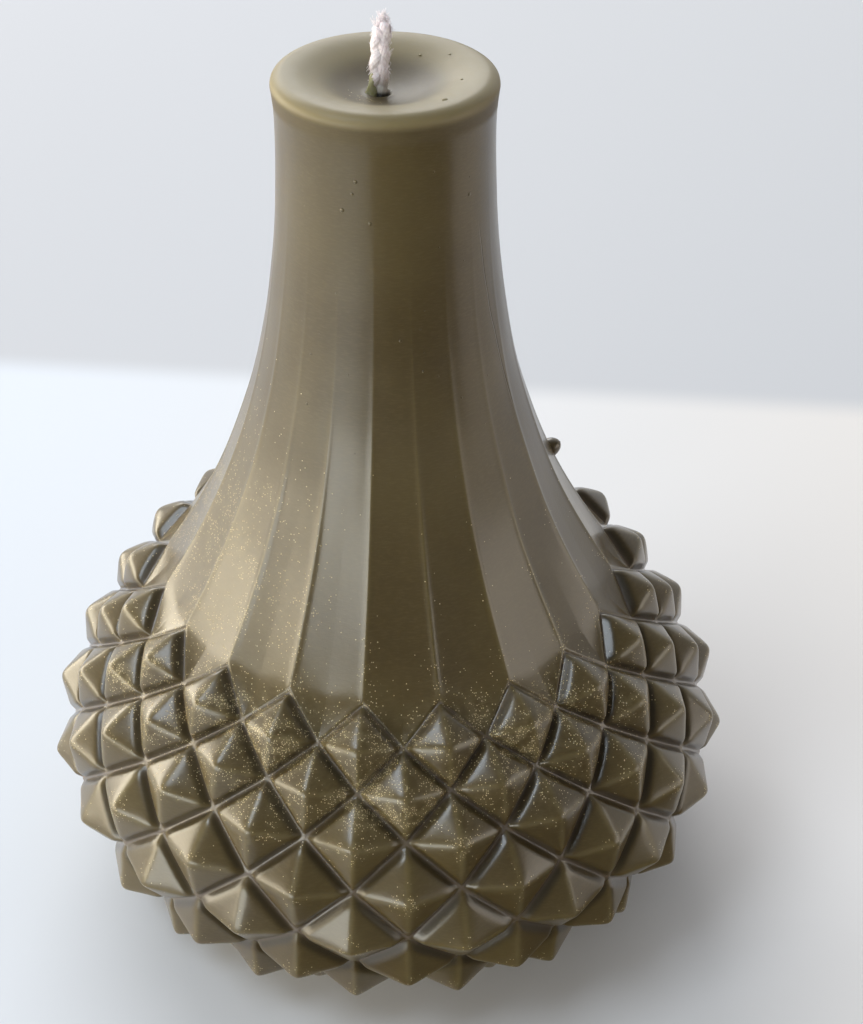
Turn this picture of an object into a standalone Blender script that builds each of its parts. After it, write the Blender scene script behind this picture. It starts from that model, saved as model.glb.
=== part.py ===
"""Cast wax candle: a fluted neck over a round body of diamond studs, with a plaited wick.

The wax is one casting. Its bare outline runs down from the rim, in at the waist, out over the
hip to the belly, and in to the foot. Below the hip a lattice of grooves follows that outline,
and every mesh of the lattice holds one blunt four-sided stud. Above the hip the flutes start at
the top corners of the first row of studs and die out towards the waist.
The wick is a plait of three strands, held in the wax from the base up to the dished top.

Metres, +Z up. The origin is the centre of the flat base.
"""
import math

import bmesh
import bpy
import numpy as np
from mathutils import Vector

MM = 0.001

# The outline, as radius and height
RIM_RADIUS = 15.9 * MM
TOTAL_HEIGHT = 141.0 * MM
WAIST = Vector((15.5, 134.0)) * MM
HIP = Vector((35.9, 58.0)) * MM
BELLY = Vector((54.0, 25.9)) * MM
FOOT = Vector((36.8, 2.1)) * MM
BASE_RADIUS = 36.0 * MM
HIP_SLOPE = math.radians(30.5)        # from vertical, where the neck runs into the body
FOOT_SLOPE = math.radians(62.0)       # from vertical, where the body runs into the base

# How far each curve keeps its end's direction
WAIST_REACH = 44.0 * MM
HIP_REACH_UP = 12.8 * MM
HIP_REACH_DOWN = 1.9 * MM
BELLY_REACH_UP = 12.0 * MM
BELLY_REACH_DOWN = 9.2 * MM
FOOT_REACH = 2.0 * MM
CURVE_STEPS = 160                     # short chords that stand in for each curve

# The top
LIP_RADIUS = 1.8 * MM                 # half-round lip of the rim
DISH_DEPTH = 3.0 * MM

# The lattice of studs
COLUMNS = 20                          # studs round the body, and flutes round the neck
STUD_ROWS = 8                         # each row is half a stud round from the one above
FIRST_RING = 0.65 * MM                # from the hip down to the first row's upper corners
STUD_PROPORTION = 1.06                # height over width of a mesh in the first row
PROPORTION_STEP = 0.028               # by which each row is squatter than the one above
GROOVE_SHARE = 0.07                   # of a stud's half size, on each side of a groove line
TOP_STUD_RISE = 3.75 * MM             # from the grooves to a blunt tip, in the first row
RISE_GROWTH = 0.035 * MM              # more in each row, by the square of the rows above it
LAST_STUD_RISE = 3.0 * MM             # the last row is low, beside the foot
STUD_DROP = 0.4 * MM                  # how far below its middle a stud points
BLUNT_SHARE = 0.80                    # where a stud's faces turn into its blunt tip
TIP_SHARE = 0.94                      # height of the blunt tip, of the sharp one

# The neck
FLUTE_DEPTH = 1.1 * MM
FLUTE_RINGS = 9

# The wick
PLAIT_WIDTH = 2.8 * MM
PLAIT_THICKNESS = 2.1 * MM
PLAIT_PITCH = 9.0 * MM                # along the wick, until a strand is back in its place
STRAND_RADIUS = 0.42 * MM
STRANDS = 3
POINTS_PER_PITCH = 8
WICK_ABOVE_DISH = 10.6 * MM
WICK_SHIFT = -0.85 * MM               # along X, from the middle of the dish
WICK_LEAN = 0.6 * MM                  # back along X, at the free end
STRAND_ENDS = (0.0 * MM, 0.9 * MM, 1.7 * MM)   # by which each strand stops short
BORE_GAP = 0.35 * MM                  # between the plait and the wax
BORE_SIDES = 20

WAX_COLOUR = (0.250, 0.215, 0.105, 1.0)
COTTON_COLOUR = (0.86, 0.83, 0.77, 1.0)


def clear_scene():
    """Remove every object of the open file."""
    for item in list(bpy.data.objects):
        bpy.data.objects.remove(item, do_unlink=True)


def collection(name):
    """A new collection in the scene."""
    group = bpy.data.collections.new(name)
    bpy.context.scene.collection.children.link(group)
    return group


def material(name, colour, roughness):
    """A plain Principled material."""
    made = bpy.data.materials.new(name)
    made.use_nodes = True
    shader = made.node_tree.nodes["Principled BSDF"]
    shader.inputs["Base Color"].default_value = colour
    shader.inputs["Roughness"].default_value = roughness
    shader.inputs["Metallic"].default_value = 0.0
    made.diffuse_color = colour
    return made


def bezier(start, handle_a, handle_b, end):
    """Points of a cubic curve, both ends included."""
    points = []
    for step in range(CURVE_STEPS + 1):
        t = step / CURVE_STEPS
        u = 1.0 - t
        points.append(u**3 * start + 3 * u * u * t * handle_a + 3 * u * t * t * handle_b + t**3 * end)
    return points


def slope_down(angle, outward=1.0):
    """Direction down the outline, at an angle from vertical."""
    return Vector((outward * math.sin(angle), -math.cos(angle)))


def neck_curve():
    """The outline from the waist down to the hip."""
    handle_a = WAIST - Vector((0.0, WAIST_REACH))
    handle_b = HIP - slope_down(HIP_SLOPE) * HIP_REACH_UP
    return bezier(WAIST, handle_a, handle_b, HIP)


def body_curve():
    """The outline from the hip over the belly down to the foot."""
    down = Vector((0.0, -1.0))
    upper = bezier(HIP, HIP + slope_down(HIP_SLOPE) * HIP_REACH_DOWN,
                   BELLY - down * BELLY_REACH_UP, BELLY)
    lower = bezier(BELLY, BELLY + down * BELLY_REACH_DOWN,
                   FOOT - slope_down(FOOT_SLOPE, -1.0) * FOOT_REACH, FOOT)
    return upper + lower[1:]


class Outline:
    """A curve of radius and height that is read by the distance along it."""

    def __init__(self, points):
        self.points = np.array([tuple(point) for point in points])
        steps = np.linalg.norm(np.diff(self.points, axis=0), axis=1)
        self.distances = np.concatenate(([0.0], np.cumsum(steps)))
        self.length = float(self.distances[-1])

    def at(self, distance):
        radius = np.interp(distance, self.distances, self.points[:, 0])
        height = np.interp(distance, self.distances, self.points[:, 1])
        return Vector((float(radius), float(height)))


def lattice_levels(outline):
    """Radius and height of each ring of groove crossings, from the hip down.

    A mesh of the lattice is as tall as its width times its proportion, so the steps between
    rings grow and shrink with the body's radius.
    """
    distance = FIRST_RING
    rings = [outline.at(distance)]
    for level in range(STUD_ROWS + 1):
        share = (STUD_PROPORTION - PROPORTION_STEP * level) * math.pi / COLUMNS
        middle = outline.at(distance + share * rings[-1].x / 2)
        distance += share * middle.x
        rings.append(outline.at(distance))
    return rings


def polar(place, column):
    """A point at a radius and height, with column 0 at the front (-Y) and columns towards +X."""
    angle = column * 2.0 * math.pi / COLUMNS
    return Vector((place.x * math.sin(angle), -place.x * math.cos(angle), place.y))


def row_shift(row):
    """Columns by which a row of studs is turned; row 1, the top one, has a stud at the front."""
    return 0.0 if row % 2 else 0.5


def stud_rise(row):
    """How far a stud's tip stands over the grooves round it."""
    if row == STUD_ROWS:
        return LAST_STUD_RISE
    return TOP_STUD_RISE + RISE_GROWTH * (row - 1) ** 2


class Skin:
    """The wax body's mesh, with the lattice's shared corners kept by ring and column."""

    def __init__(self):
        self.mesh = bmesh.new()
        self.shared = {}

    def corner(self, ring, column, place):
        """The vertex shared by every face that meets at a ring and column."""
        key = (ring, round(column * 2) % (2 * COLUMNS))
        if key not in self.shared:
            self.shared[key] = self.mesh.verts.new(polar(place, column))
        return self.shared[key]

    def vertex(self, point):
        return self.mesh.verts.new(point)

    def face(self, *corners):
        self.mesh.faces.new(corners)


def add_stud(skin, rings, row, column):
    """One mesh of the lattice: its groove floor, four faces and a blunt tip."""
    above, beside, below = rings[row - 1], rings[row], rings[row + 1]
    corners = [skin.corner(row - 1, column, above),
               skin.corner(row, column - 0.5, beside),
               skin.corner(row + 1, column, below),
               skin.corner(row, column + 0.5, beside)]
    points = [corner.co.copy() for corner in corners]
    centre = sum(points, Vector()) / 4
    along = (points[2] - points[0]).normalized()
    across = (points[3] - points[1]).normalized()
    outward = across.cross(along) * -1.0
    reach = outward * stud_rise(row) + along * STUD_DROP
    tip = centre + reach / TIP_SHARE

    floor = [point.lerp(centre, GROOVE_SHARE) for point in points]
    shoulder = [point.lerp(tip, BLUNT_SHARE) for point in floor]
    loops = [corners] + [[skin.vertex(point) for point in loop] for loop in (floor, shoulder)]
    peak = skin.vertex(centre + reach)
    for side in range(4):
        other = (side + 1) % 4
        for outer, inner in zip(loops, loops[1:]):
            skin.face(outer[side], outer[other], inner[other], inner[side])
        skin.face(loops[-1][side], loops[-1][other], peak)


def flute_depth(share):
    """Depth of a flute's middle, from the hip (0) to the waist (1)."""
    rise = min(1.0, share / 0.15)
    fade = max(0.0, 1.0 - share / 0.85)
    return FLUTE_DEPTH * rise * fade * fade


def add_neck(skin, rings):
    """The fluted neck, from the first row's upper corners to the waist. Gives its top ring."""
    curve = Outline(neck_curve())
    ridges = range(COLUMNS)
    ring = []
    for column in ridges:
        ring.append(skin.corner(0, column, rings[0]))
        ring.append(skin.corner(1, column + 0.5, rings[1]))
    for step in range(1, FLUTE_RINGS + 1):
        share = step / FLUTE_RINGS
        place = curve.at(curve.length * (1.0 - share))
        valley = place - Vector((flute_depth(share), 0.0))
        upper = []
        for column in ridges:
            upper.append(skin.vertex(polar(place, column)))
            upper.append(skin.vertex(polar(valley, column + 0.5)))
        join_rings(skin, ring, upper)
        ring = upper
    return ring


def add_foot(skin, rings):
    """The plain foot under the last row of studs. Gives the ring at the edge of the base."""
    row = STUD_ROWS
    shift = row_shift(row)
    ring = []
    for column in range(COLUMNS):
        ring.append(skin.corner(row + 1, column + shift, rings[row + 1]))
        ring.append(skin.corner(row, column + shift + 0.5, rings[row]))
    base = [skin.vertex(polar(Vector((BASE_RADIUS, 0.0)), shift + step / 2))
            for step in range(2 * COLUMNS)]
    join_rings(skin, base, ring)
    return base


def join_rings(skin, lower, upper):
    """Quads between two rings of equal count, lower one first, facing outwards."""
    count = len(lower)
    for step in range(count):
        other = (step + 1) % count
        skin.face(lower[step], lower[other], upper[other], upper[step])


def top_profile():
    """The flared edge, the half-round lip and the dish, from the waist to near the middle."""
    centre = Vector((RIM_RADIUS - LIP_RADIUS, TOTAL_HEIGHT - LIP_RADIUS))
    profile = []
    for degrees in (-20, 15, 50, 90, 130):
        angle = math.radians(degrees)
        profile.append(centre + Vector((math.cos(angle), math.sin(angle))) * LIP_RADIUS)
    edge = profile[-1]
    for share in (0.85, 0.6, 0.3):
        depth = DISH_DEPTH * (1.0 - share * share)
        profile.append(Vector((edge.x * share, min(edge.y, TOTAL_HEIGHT - depth))))
    return profile


def add_top(skin, ring):
    """Close the body over the rim and the dish."""
    for place in top_profile():
        upper = [skin.vertex(polar(place, step / 2)) for step in range(2 * COLUMNS)]
        join_rings(skin, ring, upper)
        ring = upper
    skin.face(*ring)


def wax_body(group, finish):
    """The whole casting, before the wick's bore is cut."""
    outline = Outline(body_curve())
    rings = lattice_levels(outline)
    skin = Skin()
    for row in range(1, STUD_ROWS + 1):
        for step in range(COLUMNS):
            add_stud(skin, rings, row, step + row_shift(row))
    add_top(skin, add_neck(skin, rings))
    skin.face(*reversed(add_foot(skin, rings)))
    bmesh.ops.recalc_face_normals(skin.mesh, faces=skin.mesh.faces)
    shape = bpy.data.meshes.new("wax_body")
    skin.mesh.to_mesh(shape)
    skin.mesh.free()
    body = bpy.data.objects.new("wax_body", shape)
    body.data.materials.append(finish)
    group.objects.link(body)
    return body


def wick_bore(group):
    """The cutter for the oval bore that the wax leaves round the plait."""
    bpy.ops.mesh.primitive_cylinder_add(vertices=BORE_SIDES, radius=1.0, depth=TOTAL_HEIGHT * 1.2,
                                        location=(WICK_SHIFT, 0.0, TOTAL_HEIGHT / 2))
    cutter = bpy.context.object
    cutter.name = "wick_bore_cutter"
    cutter.scale = (PLAIT_WIDTH / 2 + BORE_GAP, PLAIT_THICKNESS / 2 + BORE_GAP, 1.0)
    cutter.hide_render = True
    cutter.display_type = "WIRE"
    for owner in list(cutter.users_collection):
        owner.objects.unlink(cutter)
    group.objects.link(cutter)
    return cutter


def cut(body, cutter):
    """Cut one object from another."""
    boolean = body.modifiers.new("bore", "BOOLEAN")
    boolean.operation = "DIFFERENCE"
    boolean.solver = "EXACT"
    boolean.object = cutter


def wick_middle(height):
    """Where the wick's middle lies along X: straight in the wax, leaning a little above it."""
    free = max(0.0, (height - TOTAL_HEIGHT + DISH_DEPTH) / WICK_ABOVE_DISH)
    return WICK_SHIFT + WICK_LEAN * free * free


def plait_point(strand, height):
    """Middle of a strand at a height: a flat figure of eight, each strand a third behind."""
    turn = 2.0 * math.pi * (height / PLAIT_PITCH + strand / STRANDS)
    across = (PLAIT_WIDTH / 2 - STRAND_RADIUS) * math.sin(turn)
    through = (PLAIT_THICKNESS / 2 - STRAND_RADIUS) * math.sin(2.0 * turn)
    return Vector((wick_middle(height) + across, through, height))


def wick_strand(group, strand, finish):
    """One strand of the wick, flush with the base below and cut short of its neighbours above."""
    top = TOTAL_HEIGHT - DISH_DEPTH + WICK_ABOVE_DISH - STRAND_ENDS[strand]
    steps = round(top / PLAIT_PITCH * POINTS_PER_PITCH)
    curve = bpy.data.curves.new("wick_strand_%d" % (strand + 1), "CURVE")
    curve.dimensions = "3D"
    curve.bevel_depth = STRAND_RADIUS
    curve.bevel_resolution = 1
    curve.use_fill_caps = True
    line = curve.splines.new("POLY")
    line.points.add(steps)
    for step, point in enumerate(line.points):
        point.co = (*plait_point(strand, top * step / steps), 1.0)
    made = bpy.data.objects.new(curve.name, curve)
    made.data.materials.append(finish)
    group.objects.link(made)
    return made


def main():
    clear_scene()
    parts = collection("candle")
    cutters = collection("cutters")
    wax = material("wax", WAX_COLOUR, 0.35)
    cotton = material("cotton", COTTON_COLOUR, 0.9)
    body = wax_body(parts, wax)
    cut(body, wick_bore(cutters))
    for strand in range(STRANDS):
        wick_strand(parts, strand, cotton)


main()
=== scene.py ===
"""The looks of a cast candle: fluted neck, body of diamond studs, and a plaited cotton wick.

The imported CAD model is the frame. The casting and the wick's three strands are made again at full
detail, on the same outline and lattice, and replace their CAD nodes. The bubbles, the soaked wax
and the loose fibres are added to them.
"""

import math
import random

import bmesh
import bpy
import numpy as np
from mathutils import Matrix, Vector, noise


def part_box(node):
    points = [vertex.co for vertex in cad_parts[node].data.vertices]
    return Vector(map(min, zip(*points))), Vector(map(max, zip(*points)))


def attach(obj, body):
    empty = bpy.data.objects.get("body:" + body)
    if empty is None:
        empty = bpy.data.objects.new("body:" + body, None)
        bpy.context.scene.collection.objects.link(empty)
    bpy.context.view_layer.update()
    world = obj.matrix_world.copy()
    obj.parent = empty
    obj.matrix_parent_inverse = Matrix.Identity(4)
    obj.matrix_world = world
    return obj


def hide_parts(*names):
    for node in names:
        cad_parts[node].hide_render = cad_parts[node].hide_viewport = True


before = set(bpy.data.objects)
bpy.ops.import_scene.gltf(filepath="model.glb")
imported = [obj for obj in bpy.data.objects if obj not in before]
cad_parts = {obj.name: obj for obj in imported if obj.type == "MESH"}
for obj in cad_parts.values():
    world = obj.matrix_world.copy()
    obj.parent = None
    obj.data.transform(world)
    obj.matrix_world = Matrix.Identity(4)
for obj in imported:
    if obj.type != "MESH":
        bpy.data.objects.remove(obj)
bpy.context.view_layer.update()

MM = 0.001
WAX_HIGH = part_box("wax_body")[1]
WICK_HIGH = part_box("wick_strand_1")[1]

# The outline, as radius and height, as in the CAD
RIM_RADIUS = 15.9 * MM
TOTAL_HEIGHT = WAX_HIGH.z
WAIST = np.array((15.5, 134.0)) * MM
HIP = np.array((35.9, 58.0)) * MM
BELLY = np.array((54.0, 25.9)) * MM
FOOT = np.array((36.8, 2.1)) * MM
BASE_RADIUS = 36.0 * MM
HIP_SLOPE = math.radians(30.5)
FOOT_SLOPE = math.radians(62.0)
WAIST_REACH = 44.0 * MM
HIP_REACH_UP = 12.8 * MM
HIP_REACH_DOWN = 1.9 * MM
BELLY_REACH_UP = 12.0 * MM
BELLY_REACH_DOWN = 9.2 * MM
FOOT_REACH = 2.0 * MM
CURVE_STEPS = 1500

# The top
LIP_CREST = 14.1 * MM                 # radius of the lip's highest ring
LIP_DROP = 1.6 * MM                   # height over which the lip rounds into the neck
DISH_DEPTH = 3.3 * MM
DISH_SHAPE = 1.15                     # above 1, the dish is steepest nearer the lip
COLLAR_RISE = 0.22 * MM               # the bead of wax that stands round the wick
COLLAR_WIDTH = 0.4 * MM
COLLAR_REACH = 0.35 * MM              # distance of its crest from the bore

# The lattice of studs
COLUMNS = 20
STUD_ROWS = 8
FIRST_RING = 0.65 * MM                # distance of the first groove crossings below the hip
STUD_PROPORTION = 1.06                # height of the top studs, of their width
PROPORTION_STEP = 0.028               # by which it falls from row to row
TOP_STUD_RISE = 3.75 * MM
RISE_GROWTH = 0.035 * MM
LAST_STUD_RISE = 3.0 * MM
STUD_DROP = 0.4 * MM                  # by which a tip sags below its stud's middle
TOP_RIDGE_ROUND = 0.17                # rounding of a stud's ridges, of its half size
LOW_RIDGE_ROUND = 0.085
FACE_HOLLOW = 1.25                    # above 1, a stud's faces are hollow
TOP_WALL_SHARE = 0.34                 # of a stud's rise, in the round wall beside its groove
LOW_WALL_SHARE = 0.19
GROOVE_FLOOR = 0.022                  # of a stud's half size
WALL_WIDTH = 0.085
CORNER_CUT = 0.07                     # by which the grooves' crossings cut its base corners
CORNER_ROUND = 1.22                   # above 1, those corners are round

# Where a stud's mesh lines lie: along each side, and from its groove lines in to its tip
SIDE_STEPS = (0.0, 0.03, 0.07, 0.13, 0.22, 0.35, 0.5, 0.65, 0.78, 0.87, 0.93, 0.97)
LOOP_STEPS = (1.0, 0.978, 0.956, 0.935, 0.912, 0.888, 0.86, 0.82, 0.76, 0.68, 0.58, 0.47,
              0.36, 0.27, 0.19, 0.13, 0.08, 0.04)

# The neck
FLUTE_SHARE = 0.040                   # depth of a flute, of the width of its column
FLUTE_TOP = 60.0 * MM                 # distance above the hip where the flutes have died out
FLUTE_FULL = 12.0 * MM                # distance above the hip where they are at full depth
RIDGE_ROUND = 0.05
BEAD_RISE = 0.13 * MM                 # the thin bead along each ridge
BEAD_WIDTH = 0.42 * MM
BEAD_TOP = 80.0 * MM                  # distance above the hip where it has died out
HEM_RISE = 0.3 * MM                   # the swell along the neck's lower edge
NECK_RINGS = 96
HAND_CAST = 0.13 * MM                 # slow unevenness of the whole casting
HAND_CAST_SIZE = 11.0 * MM

# The wick
PLAIT_WIDTH = 2.8 * MM
PLAIT_THICKNESS = 2.1 * MM
PLAIT_PITCH = 9.0 * MM
STRANDS = 3
STRAND_RADIUS = 0.80 * MM
CORE_WIDTH = 2.3 * MM                 # the plait's filled middle, under its strands
CORE_THICKNESS = 1.75 * MM
YARNS = 9                             # fine yarns round a strand
YARN_PITCH = 6.5 * MM
YARN_RELIEF = 0.055                   # of the strand's radius
WICK_TOP = WICK_HIGH.z - 0.4 * MM
WICK_FOOT = TOTAL_HEIGHT - DISH_DEPTH
WICK_SHIFT = -0.85 * MM               # of the bore, to the left of the axis
WICK_LEAN = 0.6 * MM                  # of the free end, to the right
STRAND_ENDS = (0.0 * MM, 0.9 * MM, 1.7 * MM)    # how far below the top each strand is cut
BORE_GAP = 0.1 * MM
BORE_FRONT_GAP = 0.6 * MM             # the small hole that the wax left in front of the wick
FIBRES = 1100                         # loose fibres on the free wick
TUFT_FIBRES = 260                     # the first of them, in the tuft at its end

# Small bubbles cast on the neck: column, height and radius
NECK_PIPS = ((-0.9, 127.2, 0.34), (-0.5, 131.6, 0.28), (-0.6, 129.8, 0.22), (2.95, 127.7, 0.30),
             (-0.1, 125.7, 0.26), (0.7, 108.3, 0.22), (-1.7, 97.0, 0.2))
# Specks on the dish: column, radius from the axis and radius
DISH_PIPS = ((2.6, 12.2, 0.42), (8.6, 9.5, 0.22), (7.4, 11.4, 0.20), (4.9, 10.6, 0.22))
TINY_PIPS = 26                        # scattered over the front of the neck
NUB_COLUMN = 6.15                     # the bead of wax on the right of the neck
NUB_HEIGHT = 74.2 * MM
NUB_RADIUS = 1.6 * MM
NUB_RISE = 2.3 * MM

# The fine score down the right of the neck, as an angle from the front that falls with height
SCORE_START = 1.845
SCORE_FALL = 6.6
SCORE_WIDTH = 0.009

# The camera, from the candle's axis and base
CAMERA_REACH = 239.0 * MM
CAMERA_HEIGHT = 240.1 * MM
CAMERA_TURN = math.radians(6.239)
CAMERA_PITCH = math.radians(36.024)
CAMERA_YAW = math.radians(1.352)
CAMERA_ROLL = math.radians(-0.398)
CAMERA_LENS = 64.6

# The lights: name, place, target, size, power and tint
LIGHTS = (
    ("window", (-0.80, 0.02, 0.14), (-0.05, 0.0, 0.06), (1.2, 0.26), 8.4, (1.0, 0.90, 0.70)),
    ("front_window", (-0.46, -0.70, 0.165), (0.0, -0.03, 0.09), (0.5, 0.31), 3.3,
     (0.98, 1.0, 0.94)),
    ("sky_window", (-0.36, -0.26, 0.72), (0.0, 0.0, 0.06), (0.34, 0.26), 2.4, (0.80, 0.90, 1.0)),
    ("right_fill", (0.85, -0.1, 0.21), (0.0, 0.0, 0.06), (0.7, 0.34), 2.0, (1.0, 0.92, 0.82)),
    ("back", (-0.35, 0.8, 0.62), (0.0, 0.0, 0.08), (0.8, 0.5), 7.0, (1.0, 0.99, 0.96)),
)

# The dark sheet in front of the candle, a painted dark reflection of the shaded table there, as
# reaches from its axis and angles from the front
FLAG_HEIGHT = 1.0 * MM
FLAG_NEAR = 72.0 * MM
FLAG_FAR = 700.0 * MM
FLAG_LEFT = -10.0
FLAG_MIDDLE = 30.0
FLAG_RIGHT = 75.0

# The light of the room: its tint, its bright side, and the range of facing and of strength
ROOM_TINT = (0.88, 0.93, 1.0, 1.0)
ROOM_BRIGHT_SIDE = (-0.25, 0.95, 0.15)
ROOM_RISE = (-0.15, 0.9, 0.10, 1.2)

# The table, and the stretches across which its tone changes: far and near, and from the painted
# shade on its left to the painted light on its right
FLOOR_SIZE = 6.0
FLOOR_FAR = (0.138, 0.15)
FLOOR_SIDE = (-0.2, 0.3)


# ---------------------------------------------------------------- outline and lattice

def bezier(start, handle_a, handle_b, end):
    """Points of a cubic curve from its start to its end."""
    t = np.linspace(0.0, 1.0, CURVE_STEPS + 1)[:, None]
    u = 1.0 - t
    return u**3 * start + 3 * u * u * t * handle_a + 3 * u * t * t * handle_b + t**3 * end


def slope_down(angle, outward=1.0):
    """Direction down the outline, at an angle from vertical."""
    return np.array((outward * math.sin(angle), -math.cos(angle)))


def make_outline():
    """Radius and height along the outline, with the distance down it from the hip."""
    down = np.array((0.0, -1.0))
    neck = bezier(WAIST, WAIST + down * WAIST_REACH,
                  HIP - slope_down(HIP_SLOPE) * HIP_REACH_UP, HIP)
    upper = bezier(HIP, HIP + slope_down(HIP_SLOPE) * HIP_REACH_DOWN,
                   BELLY - down * BELLY_REACH_UP, BELLY)
    lower = bezier(BELLY, BELLY + down * BELLY_REACH_DOWN,
                   FOOT - slope_down(FOOT_SLOPE, -1.0) * FOOT_REACH, FOOT)
    points = np.concatenate((neck, upper[1:], lower[1:]))
    steps = np.linalg.norm(np.diff(points, axis=0), axis=1)
    distance = np.concatenate(([0.0], np.cumsum(steps)))
    return distance - distance[CURVE_STEPS], points


DISTANCE, OUTLINE = make_outline()


def place(distance):
    """Radius and height at distances down the outline from the hip."""
    distance = np.asarray(distance, float)
    return np.stack((np.interp(distance, DISTANCE, OUTLINE[:, 0]),
                     np.interp(distance, DISTANCE, OUTLINE[:, 1])), axis=-1)


def outline_normal(distance):
    """Outward direction, as radius and height."""
    step = 0.2 * MM
    along = place(distance + step) - place(distance - step)
    along /= np.linalg.norm(along, axis=-1, keepdims=True)
    return np.stack((-along[..., 1], along[..., 0]), axis=-1)


def lattice_distances():
    """Distance down the outline of each ring of groove crossings."""
    distances = [FIRST_RING]
    for level in range(STUD_ROWS + 1):
        share = (STUD_PROPORTION - PROPORTION_STEP * level) * math.pi / COLUMNS
        here = distances[-1]
        middle = place(here + share * place(here)[0] / 2)
        distances.append(here + share * middle[0])
    return distances


RINGS = lattice_distances()


def polar(places, columns):
    """Points at radius and height, with column 0 at the front (-Y) and columns towards +X."""
    angle = np.asarray(columns) * 2.0 * math.pi / COLUMNS
    radius = places[..., 0]
    return np.stack((radius * np.sin(angle), -radius * np.cos(angle),
                     places[..., 1] + 0.0 * angle), axis=-1)


def row_shift(row):
    """Columns by which a row of studs is turned; row 1 is the top one."""
    return 0.0 if row % 2 else 0.5


def stud_rise(row):
    """Height of a stud's tip over its base, which grows down to the last row but one."""
    if row == STUD_ROWS:
        return LAST_STUD_RISE
    return TOP_STUD_RISE + RISE_GROWTH * (row - 1) ** 2


def ridge_round(row):
    """Rounding of a stud's ridges, which are sharper in the lower rows."""
    fall = min(1.0, (row - 1) / 4.0)
    return TOP_RIDGE_ROUND + (LOW_RIDGE_ROUND - TOP_RIDGE_ROUND) * fall


def smooth(x):
    """An S-curve that rises from 0 at 0 to 1 at 1."""
    x = np.clip(x, 0.0, 1.0)
    return x * x * (3.0 - 2.0 * x)


def bell(x, width):
    """A bell curve that is 1 at 0."""
    return np.exp(-(x / width)**2)


def slow_noise(points, size, seed):
    """Smooth noise of about -1 to 1 at each point, with features of a given size."""
    shift = Vector((seed * 17.3, seed * 5.1, seed * 9.7))
    flat = points.reshape(-1, 3) / size
    values = [noise.noise(Vector(point) + shift) for point in flat]
    return np.array(values).reshape(points.shape[:-1])


# ---------------------------------------------------------------- meshes

class Sheets:
    """Collects grids of points into one mesh, and welds them where they meet.

    Each point may carry three marks, which the wax material reads: how far it lies in a groove,
    which gets a painted light line, how far on a ridge or near a stud's tip, which get painted
    highlight, or below 0 how deep in the painted shade beside a groove's wall, and how much frost
    is on it.
    """

    def __init__(self):
        self.points = []
        self.marks = []
        self.faces = []
        self.count = 0

    def add(self, grid, marks=None):
        """Add a [ring, step, 3] array of points, and give the numbers of its vertices."""
        rings, steps = grid.shape[:2]
        self.points.append(grid.reshape(-1, 3))
        self.marks.append(np.zeros((rings * steps, 3)) if marks is None else marks.reshape(-1, 3))
        numbers = self.count + np.arange(rings * steps).reshape(rings, steps)
        self.count += rings * steps
        return numbers

    def loops(self, grid, flip=False, marks=None):
        """A grid whose rings close on themselves."""
        numbers = self.add(grid, marks)
        a = numbers[:-1]
        b = np.roll(a, -1, axis=1)
        d = numbers[1:]
        c = np.roll(d, -1, axis=1)
        quads = np.stack((a, b, c, d), axis=-1).reshape(-1, 4)
        if flip:
            quads = quads[:, ::-1]
        self.faces += quads.tolist()
        return numbers

    def fan(self, ring, point, flip=False, marks=None):
        """Triangles from a ring of vertices to one point."""
        tip = int(self.add(np.asarray(point).reshape(1, 1, 3), marks)[0, 0])
        other = np.roll(ring, -1)
        for first, second in zip(ring.tolist(), other.tolist()):
            self.faces.append((second, first, tip) if flip else (first, second, tip))

    def mesh(self, name, weld=0.002 * MM):
        """The collected grids as one mesh."""
        made = bpy.data.meshes.new(name)
        made.from_pydata(np.concatenate(self.points).tolist(), [], self.faces)
        layer = made.attributes.new("marks", "FLOAT_VECTOR", "POINT")
        layer.data.foreach_set("vector", np.concatenate(self.marks).astype(np.float32).ravel())
        if weld:
            work = bmesh.new()
            work.from_mesh(made)
            bmesh.ops.remove_doubles(work, verts=work.verts, dist=weld)
            bmesh.ops.recalc_face_normals(work, faces=work.faces)
            work.to_mesh(made)
            work.free()
        made.shade_smooth()
        return made


def add_object(name, data):
    """An object in the scene that holds some data."""
    made = bpy.data.objects.new(name, data)
    bpy.context.scene.collection.objects.link(made)
    return made


# ---------------------------------------------------------------- wax body

def stud_grid(row):
    """A row's stud in column 0, in loops from its groove lines in to its tip, with its marks."""
    above, beside, below = (place(RINGS[row - 1]), place(RINGS[row]), place(RINGS[row + 1]))
    corners = np.array((polar(above, 0.0), polar(beside, -0.5), polar(below, 0.0),
                        polar(beside, 0.5)))
    centre = corners.mean(axis=0)
    along = corners[2] - corners[0]
    along /= np.linalg.norm(along)
    across = corners[3] - corners[1]
    across /= np.linalg.norm(across)
    reach = np.cross(along, across) * stud_rise(row) + along * STUD_DROP

    t = np.array(SIDE_STEPS)[None, :, None]
    edge = corners[:, None] * (1.0 - t) + np.roll(corners, -1, axis=0)[:, None] * t
    flat = np.array(((0.0, -1.0), (-1.0, 0.0), (0.0, 1.0), (1.0, 0.0)))
    unit = flat[:, None] * (1.0 - t) + np.roll(flat, -1, axis=0)[:, None] * t
    loops = np.array(LOOP_STEPS)[:, None, None]
    points = centre + (edge.reshape(-1, 3) - centre)[None] * loops
    unit = unit.reshape(-1, 2)[None] * loops
    height = stud_height(unit, row)
    return points + height[..., None] * reach, centre + reach, stud_marks(unit)


def stud_inside(unit):
    """How far places are inside a stud's base, whose corners are round."""
    straight = np.abs(unit).sum(axis=-1)
    rounded = (np.abs(unit)**CORNER_ROUND).sum(axis=-1)**(1.0 / CORNER_ROUND)
    inside = np.minimum(1.0 - straight - GROOVE_FLOOR, 1.0 - rounded - CORNER_CUT)
    return np.maximum(inside, 0.0)


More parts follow.
